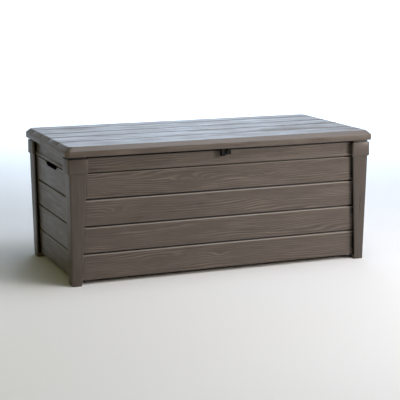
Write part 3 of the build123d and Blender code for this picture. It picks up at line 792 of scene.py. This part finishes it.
# Materials
def linearColour(hexText):
    channels = [int(hexText[i:i + 2], 16) / 255 for i in (1, 3, 5)]
    return [c / 12.92 if c <= 0.04045 else ((c + 0.055) / 1.055) ** 2.4 for c in channels] + [1.0]


def addNode(tree, kind, values=None, links=None, **settings):
    node = tree.nodes.new(kind)
    for key, value in settings.items():
        setattr(node, key, value)
    for socket, value in (values or {}).items():
        node.inputs[socket].default_value = value
    for socket, source in (links or {}).items():
        tree.links.new(source, node.inputs[socket])
    return node


def newMaterial(name):
    material = bpy.data.materials.new(name)
    material.use_nodes = True
    tree = material.node_tree
    tree.nodes.clear()
    return material, tree


# Polypropylene, coloured right through and injection moulded in a wood-grain tool: a soft, slightly
# waxy sheen, with the colour paler on the ridges of the grain and darker in its hollows.
woodResin = {
    "hollow": "#453c36",
    "ground": "#564c45",
    "ridge": "#73685f",
    # painted shade for the joints, the rim, the groove floors and behind the posts' face plates
    "paintedShade": "#14110f",
    # a painted highlight for the chamfers under the plank joints
    "paintedHighlight": "#9c958d",
    "streakPitch": 0.0055,
    "streakLength": 0.170,
    "fibrePitch": 0.0016,
    "fibreLength": 0.060,
    "blotch": 0.150,
    "roughness": (0.27, 0.58),
    "bump": 0.0006,
}


def makeWoodResin(name, along):
    # along is the axis that the grain runs on
    material, tree = newMaterial(name)
    place = addNode(tree, "ShaderNodeTexCoord")
    plank = addNode(tree, "ShaderNodeAttribute", attribute_name="plank")
    relief = addNode(tree, "ShaderNodeAttribute", attribute_name="grain")
    paintedLight = addNode(tree, "ShaderNodeAttribute", attribute_name="paintedLight")
    layers = {}
    for layer, pitch, length in (("streak", woodResin["streakPitch"], woodResin["streakLength"]),
                                 ("fibre", woodResin["fibrePitch"], woodResin["fibreLength"]),
                                 ("blotch", woodResin["blotch"] / 5, woodResin["blotch"])):
        scale = [1 / pitch] * 3
        scale[along] = 1 / length
        stretch = addNode(tree, "ShaderNodeMapping", {"Scale": scale}, {"Vector": place.outputs["Object"]})
        layers[layer] = addNode(tree, "ShaderNodeTexNoise", {"Scale": 1.0, "Detail": 3.0, "Roughness": 0.6},
                                {"Vector": stretch.outputs[0], "W": plank.outputs["Fac"]},
                                noise_dimensions="4D")
    total = addNode(tree, "ShaderNodeMath", {1: 0.34}, {0: relief.outputs["Fac"]}, operation="MULTIPLY")
    for layer, share in (("streak", 0.42), ("fibre", 0.22), ("blotch", 0.40)):
        total = addNode(tree, "ShaderNodeMath", {1: share},
                        {0: layers[layer].outputs["Fac"], 2: total.outputs[0]}, operation="MULTIPLY_ADD")
    ramp = addNode(tree, "ShaderNodeValToRGB", links={"Fac": total.outputs[0]})
    ramp.color_ramp.elements[0].position = 0.40
    ramp.color_ramp.elements[0].color = linearColour(woodResin["hollow"])
    ramp.color_ramp.elements[1].position = 0.92
    ramp.color_ramp.elements[1].color = linearColour(woodResin["ridge"])
    middle = ramp.color_ramp.elements.new(0.64)
    middle.color = linearColour(woodResin["ground"])
    colour = ramp.outputs["Color"]
    for share, tint in ((0.95, "paintedShade"), (-0.6, "paintedHighlight")):
        # a mark of 1 takes on the painted shade colour and a mark of -1 the painted highlight colour
        amount = addNode(tree, "ShaderNodeMath", {1: share}, {0: paintedLight.outputs["Fac"]}, operation="MULTIPLY")
        mixed = addNode(tree, "ShaderNodeMix", {7: linearColour(woodResin[tint])},
                        {"Factor": amount.outputs[0], 6: colour}, data_type="RGBA")
        colour = mixed.outputs[2]
    low, high = woodResin["roughness"]
    gloss = addNode(tree, "ShaderNodeMath", {1: 0.5}, {0: layers["streak"].outputs["Fac"]},
                    operation="MULTIPLY")
    gloss = addNode(tree, "ShaderNodeMath", {1: 0.5},
                    {0: layers["blotch"].outputs["Fac"], 2: gloss.outputs[0]}, operation="MULTIPLY_ADD")
    rough = addNode(tree, "ShaderNodeMapRange",
                    {"From Min": 0.36, "From Max": 0.64, "To Min": low, "To Max": high},
                    {"Value": gloss.outputs[0]})
    height = addNode(tree, "ShaderNodeMath", {1: 0.5},
                     {0: layers["fibre"].outputs["Fac"], 2: layers["streak"].outputs["Fac"]},
                     operation="MULTIPLY_ADD")
    bump = addNode(tree, "ShaderNodeBump", {"Strength": 0.6, "Distance": woodResin["bump"]},
                   {"Height": height.outputs[0]})
    shader = addNode(tree, "ShaderNodeBsdfPrincipled", {"IOR": 1.49},
                     {"Base Color": colour, "Roughness": rough.outputs[0],
                      "Normal": bump.outputs["Normal"]})
    addNode(tree, "ShaderNodeOutputMaterial", links={"Surface": shader.outputs[0]})
    return material


def makeFinish(name, finish):
    # plain moulded, painted or plated finishes: mottled colour, broken-up gloss and a fine surface
    material, tree = newMaterial(name)
    place = addNode(tree, "ShaderNodeTexCoord")
    stretch = addNode(tree, "ShaderNodeMapping", {"Scale": finish.get("stretch", (1, 1, 1))},
                      {"Vector": place.outputs["Object"]})
    grit = addNode(tree, "ShaderNodeTexNoise", {"Scale": 1 / finish["grit"], "Detail": 3.0, "Roughness": 0.6},
                   {"Vector": stretch.outputs[0]})
    cloud = addNode(tree, "ShaderNodeTexNoise", {"Scale": 1 / finish["cloud"], "Detail": 2.0},
                    {"Vector": place.outputs["Object"]})
    blend = addNode(tree, "ShaderNodeMath", {1: 0.5}, {0: grit.outputs["Fac"]}, operation="MULTIPLY")
    total = addNode(tree, "ShaderNodeMath", {1: 0.5}, {0: cloud.outputs["Fac"], 2: blend.outputs[0]},
                    operation="MULTIPLY_ADD")
    ramp = addNode(tree, "ShaderNodeValToRGB", links={"Fac": total.outputs[0]})
    ramp.color_ramp.elements[0].position = 0.32
    ramp.color_ramp.elements[0].color = linearColour(finish["dark"])
    ramp.color_ramp.elements[1].position = 0.68
    ramp.color_ramp.elements[1].color = linearColour(finish["pale"])
    low, high = finish["roughness"]
    rough = addNode(tree, "ShaderNodeMapRange",
                    {"From Min": 0.3, "From Max": 0.7, "To Min": low, "To Max": high},
                    {"Value": cloud.outputs["Fac"]})
    bump = addNode(tree, "ShaderNodeBump", {"Strength": finish["strength"], "Distance": finish["bump"]},
                   {"Height": grit.outputs["Fac"]})
    shader = addNode(tree, "ShaderNodeBsdfPrincipled",
                     {"Metallic": finish.get("metallic", 0.0),
                      "Specular IOR Level": finish.get("specular", 0.5)},
                     {"Base Color": ramp.outputs["Color"], "Roughness": rough.outputs[0],
                      "Normal": bump.outputs["Normal"]})
    addNode(tree, "ShaderNodeOutputMaterial", links={"Surface": shader.outputs[0]})
    return material


finishes = {
    # polypropylene floor, sparked tool texture: dull and even
    "floorResin": {"dark": "#413932", "pale": "#564c43", "grit": 0.0012, "cloud": 0.09,
                   "roughness": (0.5, 0.65), "strength": 0.4, "bump": 0.0003},
    # black nylon, moulded: near black, with a dull skin that gives little glare
    "blackNylon": {"dark": "#070708", "pale": "#101012", "grit": 0.0008, "cloud": 0.02,
                   "roughness": (0.42, 0.56), "strength": 0.3, "bump": 0.0002, "specular": 0.2},
    # glass-filled nylon hinges: black with a slightly grainy skin
    "hingeNylon": {"dark": "#131211", "pale": "#262422", "grit": 0.0007, "cloud": 0.02,
                   "roughness": (0.45, 0.6), "strength": 0.4, "bump": 0.0002},
    # zinc-plated screws: bright, a little clouded
    "zincPlate": {"dark": "#9c9a92", "pale": "#c9c7bf", "grit": 0.0006, "cloud": 0.008,
                  "roughness": (0.25, 0.42), "strength": 0.15, "bump": 0.0001, "metallic": 1.0},
    # turned steel pins and studs: fine rings round the axis, which is X
    "turnedSteel": {"dark": "#84847f", "pale": "#b3b3b0", "grit": 0.0009, "cloud": 0.01,
                    "roughness": (0.28, 0.42), "strength": 0.2, "bump": 0.0001, "metallic": 1.0,
                    "stretch": (3, 0.4, 0.4)},
    # powder-coated brackets: black with orange peel
    "powderCoat": {"dark": "#161617", "pale": "#222223", "grit": 0.0018, "cloud": 0.03,
                   "roughness": (0.4, 0.5), "strength": 0.35, "bump": 0.0002},
    # hot-dip galvanised tube: grey spangle, drawn out a little along the tube
    "galvanised": {"dark": "#83878a", "pale": "#b4b8ba", "grit": 0.007, "cloud": 0.03,
                   "roughness": (0.32, 0.5), "strength": 0.12, "bump": 0.0002, "metallic": 1.0,
                   "stretch": (0.6, 1, 1)},
    # enamelled strut cylinder: smooth black with a clean gloss
    "blackEnamel": {"dark": "#0d0d0e", "pale": "#161617", "grit": 0.004, "cloud": 0.04,
                    "roughness": (0.2, 0.28), "strength": 0.05, "bump": 0.0001},
    # hard-chromed rod: ground and polished, so almost a mirror
    "hardChrome": {"dark": "#c2c4c6", "pale": "#dcdddf", "grit": 0.001, "cloud": 0.02,
                   "roughness": (0.07, 0.13), "strength": 0.04, "bump": 0.00005, "metallic": 1.0},
}
finishFor = {
    "floor_resin": "floorResin", "black_nylon": "blackNylon", "hinge_nylon": "hingeNylon",
    "screw_zinc": "zincPlate", "pin_steel": "turnedSteel", "bracket_steel": "powderCoat",
    "galvanised_tube": "galvanised", "strut_paint": "blackEnamel", "rod_chrome": "hardChrome",
}
made = {name: makeFinish(name, finish) for name, finish in finishes.items()}
grainX, grainY, grainZ = (makeWoodResin("woodResin" + axis, i) for i, axis in enumerate("XYZ"))


def dress(piece, *materials):
    piece.data.materials.clear()
    for material in materials:
        piece.data.materials.append(material)


for name, piece in walls.items():
    dress(piece, grainX if name in ("frontWall", "rearWall") else grainY)
for piece in posts:
    dress(piece, grainZ)
for piece in latchPieces:
    dress(piece, made["blackNylon"])
dress(lidShell, grainX, grainY)
for face in lidShell.data.polygons:
    face.material_index = 1 if abs(face.normal.x) > 0.45 else 0
for row in frame["record"]["subparts"]:
    if row["material_slot"] in finishFor:
        dress(frame["nodes"][row["node"]], made[finishFor[row["material_slot"]]])
print("materials made:", len(bpy.data.materials))


# Camera, lights and floor
view = {"azimuth": -21.97, "elevation": 11.03, "distance": 5.6, "aim": (-0.035, -0.120, 0.293), "lens": 110.5}
azimuth, elevation = math.radians(view["azimuth"]), math.radians(view["elevation"])
backward = Vector((math.sin(azimuth) * math.cos(elevation), -math.cos(azimuth) * math.cos(elevation),
                   math.sin(elevation)))
camera = bpy.data.objects.new("camera", bpy.data.cameras.new("camera"))
bpy.context.scene.collection.objects.link(camera)
camera.data.lens = view["lens"]
camera.data.sensor_width = 36
camera.data.clip_end = 300
camera.location = Vector(view["aim"]) + backward * view["distance"]
camera.rotation_euler = (-backward).to_track_quat("-Z", "Y").to_euler()
bpy.context.scene.camera = camera

lights = [
    # name, place, aim, size, watts, colour
    ("key", (2.9, -3.0, 1.6), (0.5, 0, 0.3), 1.4, 104, "#fff4ea"),
    ("fill", (-3.6, -1.2, 1.2), (-0.3, 0, 0.3), 1.6, 14, "#eadf58"),
    ("overhead", (1.2, -1.0, 3.6), (0.3, -0.2, 0), 3.2, 132, "#f2f6ff"),
    ("backdrop", (3.0, 5.0, 4.4), (3.2, 7.5, 1.1), 4.0, 700, "#d6eaff"),
]
for name, place, aim, size, watts, colour in lights:
    light = bpy.data.objects.new(name, bpy.data.lights.new(name, "AREA"))
    bpy.context.scene.collection.objects.link(light)
    light.data.shape, light.data.size, light.data.energy = "SQUARE", size, watts
    light.data.color = linearColour(colour)[:3]
    light.location = place
    light.rotation_euler = (Vector(aim) - Vector(place)).to_track_quat("-Z", "Y").to_euler()

world = bpy.data.worlds.new("studio")
bpy.context.scene.world = world
world.use_nodes = True
world.node_tree.nodes["Background"].inputs["Color"].default_value = linearColour("#ebe6d0")
world.node_tree.nodes["Background"].inputs["Strength"].default_value = 0.12

# one sheet of pale paper: floor, a wide curve, and an upright backdrop
sweep = {"front": -9.0, "turn": 6.0, "radius": 1.5, "height": 6.0, "halfWidth": 10.0, "steps": 12}
deselectAll()
bpy.ops.mesh.primitive_plane_add(size=2 * sweep["halfWidth"], location=(0, 0, 0))
floor = bpy.context.object
floor.name = "studioFloor"
pickParts(floor, "VERT", lambda p: p.y > 0)
bpy.ops.transform.translate(value=(0, sweep["turn"] - sweep["halfWidth"], 0))
pickParts(floor, "VERT", lambda p: p.y < 0)
bpy.ops.transform.translate(value=(0, sweep["front"] + sweep["halfWidth"], 0))
pickParts(floor, "EDGE", lambda a, b: min(a.y, b.y) > sweep["turn"] - 0.001)
for step in range(sweep["steps"]):
    turned = [math.radians(90 / sweep["steps"] * (step + i)) for i in (0, 1)]
    rise = [sweep["radius"] * (1 - math.cos(angle)) for angle in turned]
    reach = [sweep["radius"] * math.sin(angle) for angle in turned]
    stride = (0, reach[1] - reach[0], rise[1] - rise[0])
    bpy.ops.mesh.extrude_region_move(TRANSFORM_OT_translate={"value": stride})
bpy.ops.mesh.extrude_region_move(TRANSFORM_OT_translate={"value": (0, 0, sweep["height"])})
bpy.ops.object.mode_set(mode="OBJECT")
bpy.ops.object.shade_smooth()
paper, paperTree = newMaterial("whitePaper")
paperShader = addNode(paperTree, "ShaderNodeBsdfPrincipled",
                      {"Base Color": linearColour("#e6e6e6"), "Roughness": 0.9})
addNode(paperTree, "ShaderNodeOutputMaterial", links={"Surface": paperShader.outputs[0]})
dress(floor, paper)
bpy.context.scene.view_settings.view_transform = "Standard"
print("scene set")
